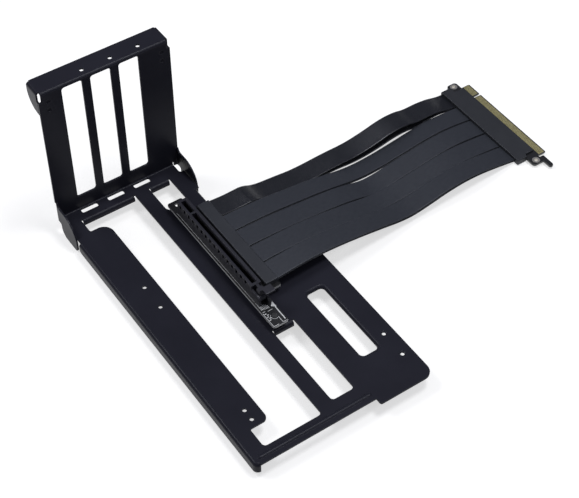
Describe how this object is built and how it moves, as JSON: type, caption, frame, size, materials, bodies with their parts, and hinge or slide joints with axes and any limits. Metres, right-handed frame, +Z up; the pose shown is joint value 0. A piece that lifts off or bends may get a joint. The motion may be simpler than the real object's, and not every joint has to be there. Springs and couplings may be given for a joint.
{
  "type": "vertical gpu mount",
  "caption": "Folded black sheet tray with a slotted card panel, a raised x16 riser slot with latch, and flat ribbon cables to an edge plug, for standing a graphics card upright.",
  "frame": {"origin": "bottom centre of the box round the bracket and slot, without the cable and plug", "axes": "+Z up from the table, +Y from the tray's front towards the slotted panel, +X towards the cable and plug"},
  "size_m": [0.3174, 0.2602, 0.1211],
  "materials": {
    "painted_steel": "satin black powder coat",
    "black_moulding": "matte",
    "black_board": "solder mask, satin",
    "cable_jacket": "satin",
    "gold": "plated",
    "bright_metal": "bright"
  },
  "bodies": {
    "mount": {"bracket": "painted_steel", "board_standoffs": "bright_metal", "board_screws": "bright_metal", "slot_board": "black_board", "slot_housing": "black_moulding", "slot_contacts_left": "gold", "slot_contacts_right": "gold", "cable_head": "black_moulding", "ribbon_1": "cable_jacket", "ribbon_2": "cable_jacket", "ribbon_3": "cable_jacket", "ribbon_4": "cable_jacket", "ribbon_5": "cable_jacket", "plug_board": "black_board", "plug_cover_top": "black_moulding", "plug_cover_bottom": "black_moulding", "plug_contacts_top": "gold", "plug_contacts_bottom": "gold", "plug_eyelets": "bright_metal"},
    "latch": {"slot_latch": "black_moulding"}
  },
  "joints": [
    {"name": "latch_hinge", "type": "hinge", "parent": "mount", "child": "latch", "pos_m": [0.00565, -0.0265, 0.0218], "axis": [1, 0, 0], "range_deg": [0, 30]}
  ]
}
